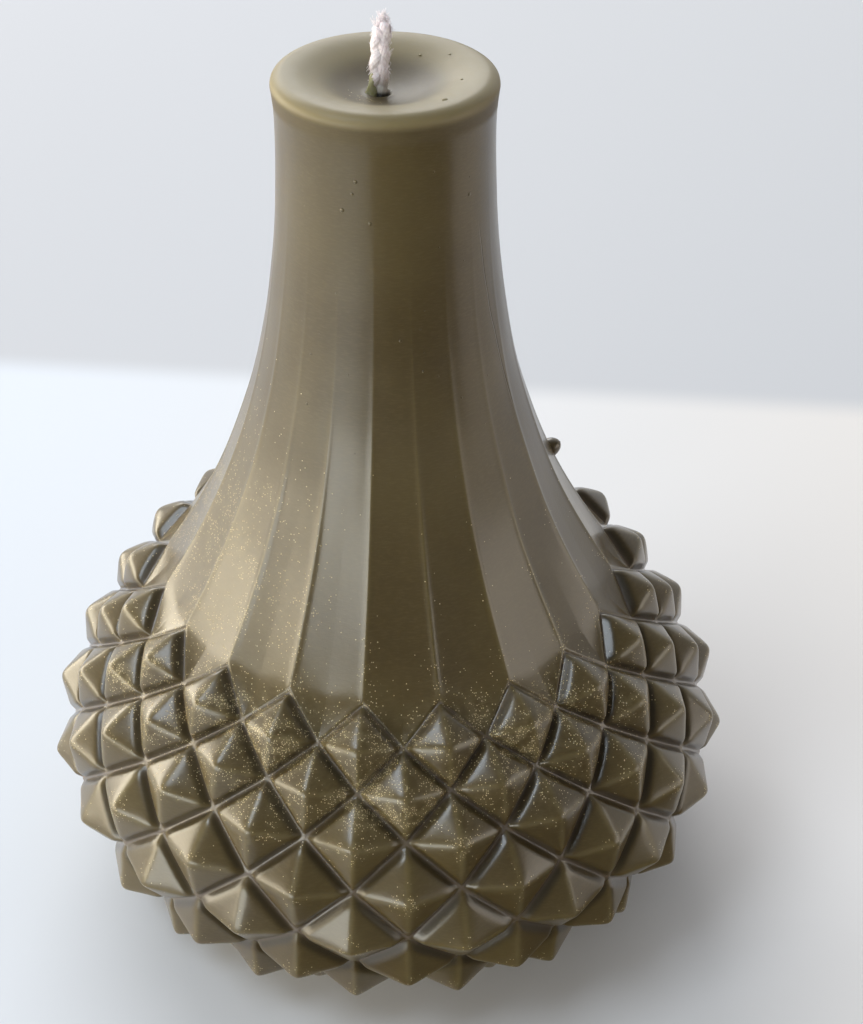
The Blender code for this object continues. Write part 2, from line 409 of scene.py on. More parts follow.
def stud_height(unit, row):
    """Share of a stud's rise at places in its mesh, whose corners are at distance 1."""
    rounding = ridge_round(row)
    spread = np.sqrt(unit * unit + rounding * rounding).sum(axis=-1)
    climb = np.clip((1.0 + rounding - spread) / (1.0 - rounding), 0.0, 1.0)**FACE_HOLLOW
    inside = stud_inside(unit)
    wall = 1.0 - np.exp(-inside / WALL_WIDTH)
    share = LOW_WALL_SHARE + (TOP_WALL_SHARE - LOW_WALL_SHARE) * math.exp((1 - row) / 1.5)
    return share * wall + (1.0 - share) * climb * smooth(inside / 0.15)


def stud_marks(unit):
    """Groove, ridge and tip marks over a stud: painted light in its grooves, painted highlight on
    its ridges and near its tip, and below 0 the second is painted shade beside its walls.
    """
    straight = np.abs(unit).sum(axis=-1)
    # painted light: the groove mark paints a thin light line along each groove
    painted_groove_line = 1.0 - smooth((1.0 - straight) / 0.09)
    # painted highlight on the ridges, and through the tip mark near the tip
    painted_ridge_shading = bell(np.abs(unit).min(axis=-1), 0.07) * (1.0 - painted_groove_line)
    tip = 1.0 - smooth((straight - 0.1) / 0.5)
    # painted shade: a dark band beside each groove's wall
    shade = bell(stud_inside(unit) - 0.05, 0.10) * (1.0 - 0.6 * painted_groove_line)
    return np.stack((painted_groove_line, np.maximum(painted_ridge_shading, tip * 0.4) - shade, tip), axis=-1)


def turn(points, columns):
    """Points turned about the axis by a number of columns."""
    angle = columns * 2.0 * math.pi / COLUMNS
    c, s = math.cos(angle), math.sin(angle)
    return points @ np.array(((c, s, 0.0), (-s, c, 0.0), (0.0, 0.0, 1.0)))


def uneven(points):
    """The slow unevenness of a casting from a soft mold, as moves of its points."""
    outward = points * np.array((1.0, 1.0, 0.0))
    outward = outward / np.maximum(np.linalg.norm(outward, axis=-1, keepdims=True), 1.0 * MM)
    return outward * (slow_noise(points, HAND_CAST_SIZE, 1) * HAND_CAST)[..., None]


def frost(points, marks):
    """Turn tip marks into patches of frost, with more on the front's upper rows, on the left
    of the neck and beside the wick.
    """
    patches = smooth(slow_noise(points, 7.0 * MM, 4) * 1.6 + 0.15)
    reach = np.maximum(np.linalg.norm(points[..., :2], axis=-1), 1.0 * MM)
    front = smooth(-0.2 - 1.2 * points[..., 1] / reach)
    rows = bell(points[..., 2] - 50.0 * MM, 5.0 * MM)
    left = smooth(-points[..., 0] / (26.0 * MM)) * bell(points[..., 2] - 72.0 * MM, 13.0 * MM)
    near_wick = points - np.array((-3.2 * MM, -2.6 * MM, WICK_FOOT + 0.5 * MM))
    crumbs = bell(np.linalg.norm(near_wick, axis=-1), 2.4 * MM)
    amount = 2.6 * rows * front + 0.75 * left + 0.55 * marks[..., 2] + crumbs
    amount = np.clip(amount, 0.0, 1.0) * (0.35 + 0.65 * patches)
    return np.concatenate((marks[..., :2], amount[..., None]), axis=-1)


def add_wax(sheets, grid, marks, tip=None):
    """Add loops of the casting's surface, made uneven and frosted."""
    numbers = sheets.loops(grid + uneven(grid), marks=frost(grid, marks))
    if tip is not None:
        tip = tip.reshape(1, 1, 3)
        tip_marks = frost(tip, np.array([[[0.0, 1.0, 1.0]]]))
        sheets.fan(numbers[-1], tip + uneven(tip), marks=tip_marks)


def add_studs(sheets):
    """Every row's studs, each the row's first one turned to its column."""
    for row in range(1, STUD_ROWS + 1):
        grid, tip, marks = stud_grid(row)
        for step in range(COLUMNS):
            columns = step + row_shift(row)
            add_wax(sheets, turn(grid, columns), marks, turn(tip, columns))


def ring_columns(shift=0.0):
    """Columns of the mesh lines up the neck, and how far each lies from ridge to valley."""
    t = np.array(SIDE_STEPS)
    columns = []
    shares = []
    for column in range(COLUMNS):
        columns += [column + shift + t / 2, column + shift + 0.5 + t / 2]
        shares += [t, 1.0 - t]
    return np.concatenate(columns), np.concatenate(shares)


def zigzag(corner_ring, valley_ring, columns, shares, shift=0.0):
    """Points along the straight groove lines that bound the studs."""
    base = np.floor((columns - shift) * 2.0 + 1e-6) / 2.0 + shift
    rising = np.isclose((base - shift) % 1.0, 0.0)
    corner_column = np.where(rising, base, base + 0.5)
    valley_column = np.where(rising, base + 0.5, base)
    corner = polar(np.broadcast_to(place(RINGS[corner_ring]), (len(columns), 2)), corner_column)
    valley = polar(np.broadcast_to(place(RINGS[valley_ring]), (len(columns), 2)), valley_column)
    return corner * (1.0 - shares)[:, None] + valley * shares[:, None]


def flute_fade(distance):
    """How much of the flutes is left, from 1 near the hip to 0 up the neck."""
    return smooth((distance + FLUTE_TOP) / (FLUTE_TOP - FLUTE_FULL))


def neck_grid(columns, shares):
    """The fluted neck, from the first row's groove lines up to the waist, with its marks."""
    bottom = RINGS[0] + (RINGS[1] - RINGS[0]) * shares
    top = DISTANCE[0]
    v = np.linspace(0.0, 1.0, NECK_RINGS)[:, None] ** 1.25
    distance = bottom[None] * (1.0 - v) + top * v
    above = bottom[None] - distance
    places = place(distance)
    width = places[..., 0] * 2.0 * math.pi / COLUMNS
    fade = flute_fade(distance)
    start = 1.0 - np.exp(-above / (1.6 * MM))
    across = np.sqrt(shares**2 + RIDGE_ROUND**2) - RIDGE_ROUND
    hollow = 1.0 - (1.0 - np.clip(across, 0.0, 1.0))**2
    long_fade = smooth((distance + BEAD_TOP) / BEAD_TOP)
    bead = bell(shares[None] * width / 2, BEAD_WIDTH) * long_fade * start
    lift = bead * BEAD_RISE - FLUTE_SHARE * width * fade * start * hollow[None]
    roll = smooth((above - 0.05 * MM) / (0.35 * MM)) * np.exp(-above / (4.0 * MM))
    lift = lift + roll * HEM_RISE
    places = places + outline_normal(distance) * lift[..., None]
    grid = polar(places, columns[None])
    edge = zigzag(0, 1, columns, shares)
    hold = np.clip(1.0 - above / (4.0 * MM), 0.0, 1.0)**2
    grid += (edge - grid[0])[None] * hold[..., None]
    strip = bell(shares[None] * width / 2, 1.5 * MM) * np.exp(-above / (9.0 * MM))
    # painted light: the first mark paints a light line along the neck's lower edge, the second a
    # painted highlight along each bead; the third is frost
    marks = np.stack((0.3 - 0.3 * smooth(above / (0.4 * MM)), bead, strip), axis=-1)
    return grid, marks


def dish_height(radius):
    """Height of the dished top at distances from the axis, inside the lip's crest."""
    share = np.clip(radius / LIP_CREST, 0.0, 1.0)**DISH_SHAPE
    return TOTAL_HEIGHT - DISH_DEPTH * (0.5 + 0.5 * np.cos(math.pi * share))


def bore_edge(columns):
    """The bore's mouth round the wick, wider in front, with column 0 at the front."""
    angle = columns * 2.0 * math.pi / COLUMNS
    front = np.clip(np.cos(angle), 0.0, 1.0)**2
    half = PLAIT_THICKNESS / 2 + BORE_GAP + BORE_FRONT_GAP * front
    return np.stack((np.sin(angle) * (PLAIT_WIDTH / 2 + BORE_GAP) + WICK_SHIFT,
                     -np.cos(angle) * half), axis=-1)


def top_grid(columns):
    """The lip, the dish and the bore's mouth, from the waist inwards."""
    start = place(DISTANCE[0])
    low = TOTAL_HEIGHT - LIP_DROP
    rings = []
    for share in np.linspace(0.0, 1.0, 11)[1:]:
        flare = start[0] + (RIM_RADIUS - start[0]) * share**2
        rings.append((flare, start[1] + (low - start[1]) * share))
    for degrees in range(6, 91, 6):
        angle = math.radians(degrees)
        rings.append((LIP_CREST + (RIM_RADIUS - LIP_CREST) * math.cos(angle),
                      low + LIP_DROP * math.sin(angle)))
    places = np.array(rings)[:, None] * np.ones((1, len(columns), 1))
    lip = polar(places, columns[None])
    bore = bore_edge(columns)
    outer = lip[-1, :, :2]
    dish = []
    for share in np.linspace(0.0, 1.0, 44)[1:]:
        flat = outer * (1.0 - share) + bore * share
        from_bore = np.linalg.norm(flat - bore, axis=-1)
        front = smooth(-flat[:, 1] / (2.0 * MM))
        collar = bell(from_bore - COLLAR_REACH, COLLAR_WIDTH) * COLLAR_RISE * (0.3 + 0.7 * front)
        height = dish_height(np.linalg.norm(flat, axis=-1)) + collar
        height = height - bell(from_bore, 0.12 * MM) * 0.25 * MM
        dish.append(np.concatenate((flat, height[:, None]), axis=1))
    return np.concatenate((lip, np.array(dish)))


def foot_grid(columns, shares):
    """The plain foot, from the last row's groove lines down to the base and in to the bore."""
    edge = zigzag(STUD_ROWS + 1, STUD_ROWS, columns, shares, row_shift(STUD_ROWS))
    edge = edge + uneven(edge)
    base = polar(np.broadcast_to(np.array((BASE_RADIUS, 0.0)), (len(columns), 2)), columns)
    lift = np.array((0.0, 0.0, 0.5 * MM))
    rings = [edge * (1.0 - share) + (base + lift) * share for share in np.linspace(0.0, 1.0, 9)]
    rings.append(base * np.array((0.997, 0.997, 1.0)) + lift * 0.4)
    rings.append(base * np.array((0.988, 0.988, 1.0)))
    bore = bore_edge(columns)
    bore = np.concatenate((bore, np.zeros((len(columns), 1))), axis=1)
    outer = rings[-1]
    for share in (0.2, 0.5, 0.8, 1.0):
        rings.append(outer * (1.0 - share) + bore * share)
    return np.array(rings)


def wax_mesh():
    """The whole casting: studs, neck and top, foot, and the bore's throat between them."""
    sheets = Sheets()
    add_studs(sheets)
    columns, shares = ring_columns()
    neck, neck_marks = neck_grid(columns, shares)
    top = top_grid(columns)
    upper_marks = np.concatenate((neck_marks, np.zeros(top.shape)))
    add_wax(sheets, np.concatenate((neck, top)), upper_marks)
    foot_columns, foot_shares = ring_columns(row_shift(STUD_ROWS))
    foot = foot_grid(foot_columns, foot_shares)
    sheets.loops(foot, flip=True)
    mouth = top[-1] + uneven(top[-1])
    order = np.argsort(np.mod(foot_columns, COLUMNS), kind="stable")
    throat = np.array([mouth * (1.0 - share) + foot[-1][order] * share
                       for share in (0.0, 0.01, 0.03, 1.0)])
    sheets.loops(throat)
    return sheets.mesh("wax_body_cast")


def dome(sheets, centre, normal, radius, rise):
    """A small round bubble, sunk a little into the surface it sits on."""
    normal = np.asarray(normal) / np.linalg.norm(normal)
    side = np.cross(normal, np.array((0.0, 0.0, 1.0)) if abs(normal[2]) < 0.9
                    else np.array((1.0, 0.0, 0.0)))
    side /= np.linalg.norm(side)
    up = np.cross(side, normal)
    angle = np.arange(16)[None] * math.pi / 8
    polar_angle = np.linspace(0.5 * math.pi, 0.08, 7)[:, None]
    flat = radius * np.sin(polar_angle)
    lift = rise * np.cos(polar_angle) - 0.12 * rise
    grid = (np.asarray(centre) + (flat * np.cos(angle))[..., None] * side
            + (flat * np.sin(angle))[..., None] * up
            + (lift + 0.0 * angle)[..., None] * normal)
    numbers = sheets.loops(grid)
    sheets.fan(numbers[-1], np.asarray(centre) + normal * rise * 0.9)
    sheets.fan(numbers[0], np.asarray(centre) - normal * rise * 0.5, flip=True)


def neck_place(column, height):
    """A point on the neck at a column and height, and the way its surface faces."""
    neck = OUTLINE[:CURVE_STEPS + 1]
    distance = np.interp(-height, -neck[:, 1], DISTANCE[:CURVE_STEPS + 1])
    share = 1.0 - abs((column + 0.5) % 1.0 - 0.5) * 2.0
    width = place(distance)[0] * 2.0 * math.pi / COLUMNS
    sink = FLUTE_SHARE * width * flute_fade(distance) * (1.0 - share**2)
    normal = outline_normal(distance)
    point = polar(place(distance) - normal * sink, column)
    facing = polar(normal, column)
    return point + uneven(point), facing


def pips_mesh(rng):
    """Bubbles and specks cast on the wax, and a nub at the right of the neck."""
    sheets = Sheets()
    for column, height, radius in NECK_PIPS:
        point, facing = neck_place(column, height * MM)
        dome(sheets, point, facing, radius * MM, radius * 0.45 * MM)
    point, facing = neck_place(NUB_COLUMN, NUB_HEIGHT)
    dome(sheets, point, facing, NUB_RADIUS, NUB_RISE)
    for column, reach, radius in DISH_PIPS:
        point = polar(np.array((reach * MM, dish_height(reach * MM))), column)
        dome(sheets, point, (0.0, 0.0, 1.0), radius * MM, radius * 0.5 * MM)
    for number in range(TINY_PIPS):
        column = rng.uniform(-2.5, 4.0)
        point, facing = neck_place(column, rng.uniform(84.0, 133.0) * MM)
        radius = rng.uniform(0.08, 0.17) * MM
        dome(sheets, point, facing, radius, radius * 0.5)
    return sheets.mesh("wax_bubbles", weld=None)


# ---------------------------------------------------------------- wick

def wick_middle(height):
    """The wick's place from left to right at heights: straight in the wax, then leaning."""
    free = np.maximum(0.0, (height - WICK_FOOT) / (WICK_TOP - WICK_FOOT))
    return WICK_SHIFT + WICK_LEAN * np.minimum(free, 1.2)**2


def plait_points(strand, height):
    """Middle of a strand at heights: a flat figure of eight, each strand a third behind."""
    angle = 2.0 * math.pi * (height / PLAIT_PITCH + strand / STRANDS)
    across = (PLAIT_WIDTH / 2 - STRAND_RADIUS) * np.sin(angle)
    through = (PLAIT_THICKNESS / 2 - STRAND_RADIUS) * np.sin(2.0 * angle)
    return np.stack((wick_middle(height) + across, through, height), axis=-1)


def tube(sheets, path, radii, sides):
    """A closed tube along a path of points; radii may vary by point, or by point and side."""
    path = np.asarray(path)
    ahead = np.gradient(path, axis=0)
    ahead /= np.linalg.norm(ahead, axis=1, keepdims=True)
    side = np.cross(ahead, np.array((0.0, 1.0, 0.0)))
    side /= np.linalg.norm(side, axis=1, keepdims=True)
    up = np.cross(side, ahead)
    angle = np.arange(sides) * 2.0 * math.pi / sides
    radii = np.asarray(radii, float)
    if radii.ndim < 2:
        radii = np.broadcast_to(radii, (len(path),))[:, None] * np.ones((1, sides))
    round_it = (side[:, None] * np.cos(angle)[None, :, None]
                + up[:, None] * np.sin(angle)[None, :, None])
    numbers = sheets.loops(path[:, None] + radii[..., None] * round_it)
    sheets.fan(numbers[-1], path[-1])
    sheets.fan(numbers[0], path[0], flip=True)


def strand_mesh(strand):
    """A strand: a slim tube inside the wax, and above it a plump twist of fine yarns."""
    sheets = Sheets()
    split = WICK_FOOT - 2.0 * MM
    end = WICK_TOP - STRAND_ENDS[strand]
    hidden = np.arange(0.0, split + 0.4 * MM, 0.6 * MM)
    tube(sheets, plait_points(strand, hidden), STRAND_RADIUS * 0.7, 8)
    height = np.arange(split, end, 0.14 * MM)
    sides = YARNS * 6
    angle = np.arange(sides) * 2.0 * math.pi / sides
    twist = 2.0 * math.pi * height / YARN_PITCH
    yarns = np.abs(np.cos((angle[None] + twist[:, None]) * YARNS / 2))**0.7
    relief = 1.0 - YARN_RELIEF * 2.0 * (1.0 - yarns)
    left = end - height
    taper = 0.35 + 0.65 * smooth(left / (1.1 * MM))
    lumps = 1.0 + 0.04 * np.sin(height / (0.9 * MM) + strand * 2.1)
    tube(sheets, plait_points(strand, height), STRAND_RADIUS * relief * (taper * lumps)[:, None],
         sides)
    if strand == 0:
        add_core(sheets, height[height < end - 1.2 * MM])
    return sheets.mesh("wick_strand_%d_yarns" % (strand + 1), weld=None)


def add_core(sheets, height):
    """The cotton that fills the plait's hollows, with a shallow furrow down its front."""
    angle = np.arange(40) * 2.0 * math.pi / 40
    across = np.cos(angle) * CORE_WIDTH / 2
    through = np.sin(angle) * CORE_THICKNESS / 2
    reach = np.hypot(across, through) * (1.0 - 0.10 * bell(np.cos(angle), 0.25))
    swell = 1.0 + 0.03 * np.sin(height / (0.75 * MM))
    path = np.stack((wick_middle(height), 0.0 * height, height), axis=-1)
    tube(sheets, path, reach[None] * swell[:, None], 40)


def fuzz_mesh(rng):
    """Loose fibres along the free wick, and a tuft at its cut end."""
    sheets = Sheets()
    for number in range(FIBRES):
        tuft = number < TUFT_FIBRES
        strand = rng.choice((0, 0, 1, 2)) if tuft else rng.randrange(STRANDS)
        end = WICK_TOP - STRAND_ENDS[strand]
        low = 1.3 * MM if tuft else end - WICK_FOOT
        height = end - rng.random() * low
        start = plait_points(strand, np.array([height]))[0]
        angle = rng.random() * 2.0 * math.pi
        out = np.array((math.cos(angle), math.sin(angle), 0.0))
        length = ((0.5 + 0.7 * rng.random()) if tuft else (0.3 + 0.6 * rng.random())) * MM
        rise = 2.2 if tuft else rng.choice((-1.0, 1.0)) * rng.uniform(1.2, 3.5)
        heading = out * (0.45 if tuft else 0.9) + np.array((0.0, 0.0, rise))
        heading /= np.linalg.norm(heading)
        bend = np.array([rng.uniform(-1.0, 1.0) for axis in range(3)]) * 0.35
        near = STRAND_RADIUS * (rng.random() * 0.7 if tuft else 0.9)
        share = np.linspace(0.0, 1.0, 5)[:, None]
        path = start + out * near + (heading * share + bend * share**2) * length
        tube(sheets, path, (0.035 if tuft else 0.022) * MM, 4)
    return sheets.mesh("wick_fibres", weld=None)


def soak_mesh():
    """Wax drawn up the left of the wick, thin at its top and spread where it meets the dish."""
    sheets = Sheets()
    share = np.linspace(0.0, 1.0, 26)
    height = WICK_FOOT - 0.5 * MM + share * 3.9 * MM
    foot = (1.0 - share)**2.2
    path = np.stack((wick_middle(height) - (0.68 + 0.45 * foot) * MM,
                     -0.30 * MM - 0.15 * MM * foot, height), axis=-1)
    angle = np.arange(28) * 2.0 * math.pi / 28
    ragged = 0.05 * np.sin(angle * 3 + share[:, None] * 9.0) + 0.03 * np.sin(angle * 7)
    taper = np.sqrt(np.clip(1.0 - share**5, 0.0, 1.0))
    radii = (0.66 + 0.28 * foot[:, None] + ragged) * MM * np.maximum(taper, 0.25)[:, None]
    tube(sheets, path, radii, 28)
    return sheets.mesh("wick_soaked_wax", weld=None)


# ---------------------------------------------------------------- materials

class Shader:
    """A Principled material, with short ways to add the nodes that feed it."""

    def __init__(self, name):
        self.material = bpy.data.materials.new(name)
        self.material.use_nodes = True
        self.tree = self.material.node_tree
        self.surface = self.tree.nodes["Principled BSDF"]

    def set(self, **values):
        """Set or link sockets of the surface; a word's _ stands for a space."""
        for word, value in values.items():
            self.feed(self.surface.inputs[word.replace("_", " ")], value)

    def feed(self, socket, value):
        """Link a socket to another, or set it."""
        if isinstance(value, bpy.types.NodeSocket):
            self.tree.links.new(value, socket)
        else:
            socket.default_value = value

    def node(self, kind, *values, **settings):
        """A node with its first sockets set or linked."""
        made = self.tree.nodes.new("ShaderNode" + kind)
        for word, value in settings.items():
            setattr(made, word, value)
        for socket, value in zip(made.inputs, values):
            if value is not None:
                self.feed(socket, value)
        return made

    def math(self, operation, *values):
        """The result of a sum on values or sockets."""
        return self.node("Math", *values, operation=operation).outputs[0]

    def ramp(self, value, low, high, bottom=0.0, top=1.0):
        """A value brought from one range to another, and kept inside it."""
        return self.node("MapRange", value, low, high, bottom, top,
                         interpolation_type="SMOOTHSTEP").outputs[0]

    def noise(self, size, detail=2.0, where=None, rough=0.5):
        """Noise of 0 to 1, with features of a size in metres."""
        made = self.node("TexNoise")
        self.feed(made.inputs["Vector"], where or self.place())
        made.inputs["Scale"].default_value = 1.0 / size
        made.inputs["Detail"].default_value = detail
        made.inputs["Roughness"].default_value = rough
        return made.outputs["Fac"]

    def cells(self, size):
        """Distance to the nearest of scattered points, in cells, and the cell's own colour."""
        made = self.node("TexVoronoi")
        self.feed(made.inputs["Vector"], self.place())
        made.inputs["Scale"].default_value = 1.0 / size
        return made.outputs["Distance"], made.outputs["Color"]

    def place(self):
        """Places on the candle, in metres."""
        return self.node("TexCoord").outputs["Object"]

    def mix(self, share, first, second):
        """A blend of two colours."""
        made = self.node("Mix", data_type="RGBA")
        self.feed(made.inputs["Factor"], share)
        self.feed(made.inputs[6], first)
        self.feed(made.inputs[7], second)
        return made.outputs[2]

    def bump(self, height, distance, before=None, strength=1.0):
        """A bumped normal, added to the one before it if there is one."""
        made = self.node("Bump")
        made.inputs["Strength"].default_value = strength
        made.inputs["Distance"].default_value = distance
        self.feed(made.inputs["Height"], height)
        if before is not None:
            self.feed(made.inputs["Normal"], before)
        return made.outputs["Normal"]


def colour(red, green, blue):
    """A linear colour from one stated as a screen shows it, 0 to 255."""
    shown = (red / 255.0, green / 255.0, blue / 255.0)
    return tuple(((c + 0.055) / 1.055)**2.4 if c > 0.04 else c / 12.92 for c in shown) + (1.0,)


def hairline(shader):
    """A fine score down the right of the neck: 1 on the line and 0 beside it."""
    x, y, z = shader.node("SeparateXYZ", shader.place()).outputs
    angle = shader.math("ARCTAN2", x, shader.math("MULTIPLY", y, -1.0))
    wobble = shader.math("MULTIPLY", shader.noise(9.0 * MM), 0.05)
    line = shader.math("MULTIPLY_ADD", z, -SCORE_FALL, SCORE_START)
    off = shader.math("SUBTRACT", shader.math("SUBTRACT", angle, line), wobble)
    near = shader.ramp(shader.math("ABSOLUTE", off), 0.0, SCORE_WIDTH, 1.0, 0.0)
    tall = shader.math("MULTIPLY", shader.ramp(z, 90.0 * MM, 97.0 * MM),
                       shader.ramp(z, 116.0 * MM, 124.0 * MM, 1.0, 0.0))
    return shader.math("MULTIPLY", near, tall)


def wax_material():
    """Olive wax: cloudy in its depth, satin on its skin, with specks and a haze of frost, and with
    painted highlight and shade along its ridges and grooves.
    """
    wax = Shader("cast_wax")
    marks = wax.node("Attribute", attribute_name="marks").outputs["Vector"]
    painted_groove_line, painted_ridge_shading, frosted = wax.node("SeparateXYZ", marks).outputs

    cloud = wax.ramp(wax.noise(26.0 * MM, 3.0), 0.35, 0.68)
    x, y, z = wax.node("SeparateXYZ", wax.place()).outputs
    level = wax.node("CombineXYZ", x, y, wax.math("MULTIPLY", z, 5.0)).outputs[0]
    grained = wax.noise(1.1 * MM, 3.0, level, rough=0.6)
    top = wax.ramp(z, TOTAL_HEIGHT - 2.3 * MM, TOTAL_HEIGHT - 0.7 * MM)
    base = wax.mix(cloud, colour(75, 62, 35), colour(87, 74, 44))
    base = wax.mix(wax.ramp(grained, 0.4, 0.8, 0.0, 0.22), base, colour(112, 98, 66))
    # painted highlight: lighter wax along the ridges, near the tips and along the neck's beads
    base = wax.mix(wax.ramp(painted_ridge_shading, 0.0, 1.0, 0.0, 0.15), base, colour(140, 128, 88))
    # painted shade: darker wax beside the studs' groove walls
    base = wax.mix(wax.ramp(painted_ridge_shading, 0.0, -1.0, 0.0, 0.6), base, colour(44, 35, 20))
    # painted light: a light grey line along the grooves
    base = wax.mix(wax.math("MULTIPLY", painted_groove_line, 0.5), base, colour(120, 108, 100))
    base = wax.mix(wax.math("MULTIPLY", top, 0.75), base, colour(136, 123, 88))
    line = hairline(wax)
    base = wax.mix(wax.math("MULTIPLY", line, 0.6), base, colour(62, 52, 38))

    distance, cell = wax.cells(0.25 * MM)
    chance = wax.node("SeparateXYZ", cell).outputs[0]
    amount = wax.math("MULTIPLY", frosted, wax.ramp(wax.noise(1.7 * MM, 2.0), 0.34, 0.62))
    chosen = wax.math("GREATER_THAN", wax.math("ADD", chance, amount), 1.0)
    dot = wax.ramp(distance, 0.2, 0.42, 1.0, 0.0)
    speck = wax.math("MULTIPLY", dot, chosen)
    base = wax.mix(wax.math("MULTIPLY", speck, 0.85), base, colour(226, 206, 160))
    haze = wax.math("MULTIPLY", amount, 0.18)
    base = wax.mix(haze, base, colour(176, 160, 120))

    rough = wax.math("MULTIPLY_ADD", grained, 0.12, 0.25)
    rough = wax.math("ADD", rough, wax.math("MULTIPLY", amount, 0.12))
    dull = wax.ramp(z, TOTAL_HEIGHT - 4.6 * MM, TOTAL_HEIGHT - 3.4 * MM)
    rough = wax.math("ADD", rough, wax.math("MULTIPLY", dull, 0.2))
    coat = wax.math("MULTIPLY_ADD", dull, -0.3, 0.32)
    brushed = wax.bump(grained, 0.02 * MM, strength=0.5)
    grain = wax.bump(wax.noise(0.55 * MM, 4.0, rough=0.6), 0.02 * MM, brushed, strength=0.5)
    raised = wax.bump(speck, 0.04 * MM, grain, strength=0.7)
    scored = wax.bump(line, -0.08 * MM, raised, strength=0.8)
    wax.set(Base_Color=base, Roughness=rough, Normal=scored, Subsurface_Weight=0.45,
            Subsurface_Radius=(1.0, 0.75, 0.38), Subsurface_Scale=1.3 * MM, IOR=1.45,
            Coat_Weight=coat, Coat_Roughness=0.17, Coat_IOR=1.5)
    return wax.material


def cotton_material():
    """Soft white cotton with a pink cast, darker where wax soaks it, with a painted shadow at the
    right of its cut end and painted shade down in the bore.
    """
    cotton = Shader("wick_cotton")
    x, y, z = cotton.node("SeparateXYZ", cotton.place()).outputs
    squeezed = cotton.node("CombineXYZ", x, y, cotton.math("MULTIPLY", z, 0.22)).outputs[0]
    strands = cotton.noise(0.10 * MM, 3.0, squeezed)
    lint = cotton.noise(0.7 * MM, 3.0)
    base = cotton.mix(cotton.ramp(strands, 0.3, 0.7), colour(222, 208, 214), colour(250, 243, 244))
    base = cotton.mix(cotton.ramp(lint, 0.4, 0.75, 0.0, 0.35), base, colour(205, 190, 200))
    # painted shadow: the right of the wick's cut end is painted darker
    painted_end_shadow = cotton.math("MULTIPLY", cotton.ramp(z, WICK_TOP - 2.1 * MM, WICK_TOP - 1.6 * MM),
                        cotton.ramp(x, WICK_SHIFT + 1.45 * MM, WICK_SHIFT + 1.7 * MM))
    base = cotton.mix(cotton.math("MULTIPLY", painted_end_shadow, 0.75), base, colour(128, 112, 120))
    soaked = cotton.ramp(z, WICK_FOOT + 0.6 * MM, WICK_FOOT + 3.0 * MM, 0.6, 0.0)
    base = cotton.mix(soaked, base, colour(198, 186, 156))
    # painted shade: the cotton down in the hole at the wick's foot is painted nearly black
    painted_hole_shade = cotton.ramp(z, WICK_FOOT + 0.15 * MM, WICK_FOOT + 0.75 * MM, 0.93, 0.0)
    base = cotton.mix(painted_hole_shade, base, colour(46, 42, 32))
    fibres = cotton.bump(strands, 0.05 * MM, strength=0.6)
    cotton.set(Base_Color=base, Roughness=0.9, Normal=fibres, Subsurface_Weight=0.25,
               Subsurface_Radius=(1.0, 0.8, 0.75), Subsurface_Scale=0.5 * MM,
               Sheen_Weight=0.25, Sheen_Roughness=0.5)
    return cotton.material


def soak_material():
    """Thin yellow-green wax over white cotton."""
    soak = Shader("soaked_wax")
    streak = soak.noise(0.6 * MM, 3.0)
    base = soak.mix(streak, colour(150, 145, 104), colour(186, 182, 144))
    soak.set(Base_Color=base, Roughness=soak.ramp(streak, 0.3, 0.7, 0.22, 0.40),
             Subsurface_Weight=0.5, Subsurface_Radius=(1.0, 0.9, 0.5),
             Subsurface_Scale=1.0 * MM, IOR=1.45, Normal=soak.bump(streak, 0.06 * MM))
    return soak.material


# ---------------------------------------------------------------- pieces

def add_piece(name, data, finish, node=None):
    """Put a piece on the candle's one body, in the place of its CAD node."""
    made = add_object(name, data)
    made.data.materials.append(finish)
    if node:
        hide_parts(node)
    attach(made, "root")


def build_candle():
    """Every piece of the candle, with its material."""
    rng = random.Random(7)
    wax = wax_material()
    cotton = cotton_material()
    add_piece("wax_cast", wax_mesh(), wax, "wax_body")
    add_piece("wax_bubbles", pips_mesh(rng), wax)
    add_piece("wick_soaked_wax", soak_mesh(), soak_material())
    for strand in range(STRANDS):
        number = strand + 1
        add_piece("wick_yarns_%d" % number, strand_mesh(strand), cotton,
                  "wick_strand_%d" % number)
    add_piece("wick_fibres", fuzz_mesh(rng), cotton)


# ---------------------------------------------------------------- stage

def build_camera():
    """The camera, turned down, aside and level by its three angles, then round the candle."""
    data = bpy.data.cameras.new("camera")
    data.lens = CAMERA_LENS
    data.sensor_fit = "AUTO"
    data.sensor_width = 36.0
    data.clip_start = 0.005
    camera = add_object("camera", data)
    forward = Vector((0.0, math.cos(CAMERA_PITCH), -math.sin(CAMERA_PITCH)))
    up = Vector((0.0, math.sin(CAMERA_PITCH), math.cos(CAMERA_PITCH)))
    right = Vector((1.0, 0.0, 0.0))
    forward, right = (forward * math.cos(CAMERA_YAW) + right * math.sin(CAMERA_YAW),
                      right * math.cos(CAMERA_YAW) - forward * math.sin(CAMERA_YAW))
    right, up = (right * math.cos(CAMERA_ROLL) + up * math.sin(CAMERA_ROLL),
                 up * math.cos(CAMERA_ROLL) - right * math.sin(CAMERA_ROLL))
    turned = Matrix((right, up, -forward)).transposed().to_4x4()
    turned.translation = Vector((0.0, -CAMERA_REACH, CAMERA_HEIGHT))
    camera.matrix_world = Matrix.Rotation(CAMERA_TURN, 4, "Z") @ turned
    bpy.context.scene.camera = camera


def area_light(name, place_at, target, size, power, tint):
    """A soft rectangle of light that faces its target."""
    data = bpy.data.lights.new(name, "AREA")
    data.shape = "RECTANGLE"
    data.size, data.size_y = size
    data.energy = power
    data.color = tint
    lamp = add_object(name, data)
    lamp.location = place_at
    direction = Vector(target) - Vector(place_at)
    lamp.rotation_euler = direction.to_track_quat("-Z", "Y").to_euler()


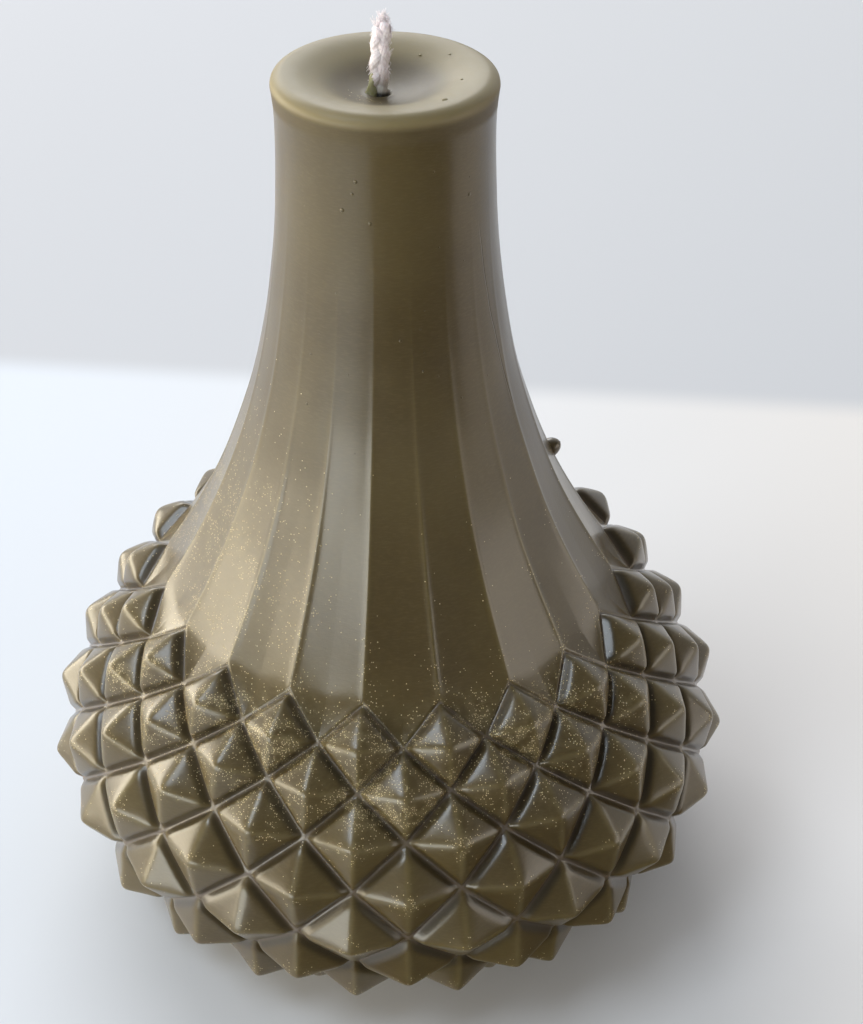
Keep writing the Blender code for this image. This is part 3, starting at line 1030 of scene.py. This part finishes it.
def flag_mesh():
    """A dark sheet laid in front of the candle, seen only in its gloss: a painted dark reflection.
    """
    corners = []
    for reach, angle in ((FLAG_NEAR, FLAG_LEFT), (FLAG_FAR, FLAG_LEFT), (FLAG_FAR, FLAG_MIDDLE),
                         (FLAG_FAR, FLAG_RIGHT), (FLAG_NEAR, FLAG_RIGHT)):
        turned = math.radians(angle)
        corners.append((reach * math.sin(turned), -reach * math.cos(turned), FLAG_HEIGHT))
    made = bpy.data.meshes.new("front_dark_reflection")
    made.from_pydata(corners, [], [tuple(range(len(corners)))])
    return made


def build_floor():
    """A pale table, a little darker beyond the candle, with painted shade on its left and painted
    light on its right, where the candle's shadow falls.
    """
    bpy.ops.mesh.primitive_plane_add(size=FLOOR_SIZE, location=(0.0, 0.0, 0.0))
    floor = bpy.context.object
    floor.name = "floor"
    table = Shader("pale_table")
    x, y = table.node("SeparateXYZ", table.place()).outputs[:2]
    far = table.ramp(y, *FLOOR_FAR)
    # painted light and shade: cool and darker to the left, warm and lighter to the right where the
    # candle's shadow falls
    side = table.ramp(x, *FLOOR_SIDE)
    near_side = table.mix(side, colour(200, 207, 218), colour(234, 225, 215))
    far_side = table.mix(side, colour(180, 182, 188), colour(203, 204, 207))
    base = table.mix(far, near_side, far_side)
    table.set(Base_Color=base, Roughness=0.6, Specular_IOR_Level=0.2)
    floor.data.materials.append(table.material)


def build_world():
    """Soft light all round, bright behind the candle and dim in front of it."""
    world = bpy.data.worlds.new("studio")
    bpy.context.scene.world = world
    world.use_nodes = True
    tree = world.node_tree
    background = tree.nodes["Background"]
    background.inputs["Color"].default_value = ROOM_TINT
    facing = tree.nodes.new("ShaderNodeVectorMath")
    facing.operation = "DOT_PRODUCT"
    facing.inputs[1].default_value = ROOM_BRIGHT_SIDE
    tree.links.new(tree.nodes.new("ShaderNodeTexCoord").outputs["Generated"], facing.inputs[0])
    amount = tree.nodes.new("ShaderNodeMapRange")
    amount.interpolation_type = "SMOOTHSTEP"
    for socket, value in zip(amount.inputs[1:], ROOM_RISE):
        socket.default_value = value
    tree.links.new(facing.outputs["Value"], amount.inputs[0])
    tree.links.new(amount.outputs[0], background.inputs["Strength"])


def build_lights():
    """The lights, and the flag: a dark sheet that paints a dark reflection into the gloss on the
    candle's front.
    """
    for light in LIGHTS:
        area_light(*light)
    # painted reflection: the sheet is hidden from the camera, shadows and diffuse light, and shows
    # only as a dark reflection
    flag = add_object("front_dark_reflection", flag_mesh())
    flag.visible_camera = False
    flag.visible_shadow = False
    flag.visible_diffuse = False
    dark_reflection = Shader("painted_dark_reflection")
    dark_reflection.set(Base_Color=(0.01, 0.01, 0.01, 1.0), Roughness=0.95)
    flag.data.materials.append(dark_reflection.material)


build_camera()
build_candle()
build_floor()
build_world()
build_lights()
bpy.context.scene.view_settings.view_transform = "Standard"
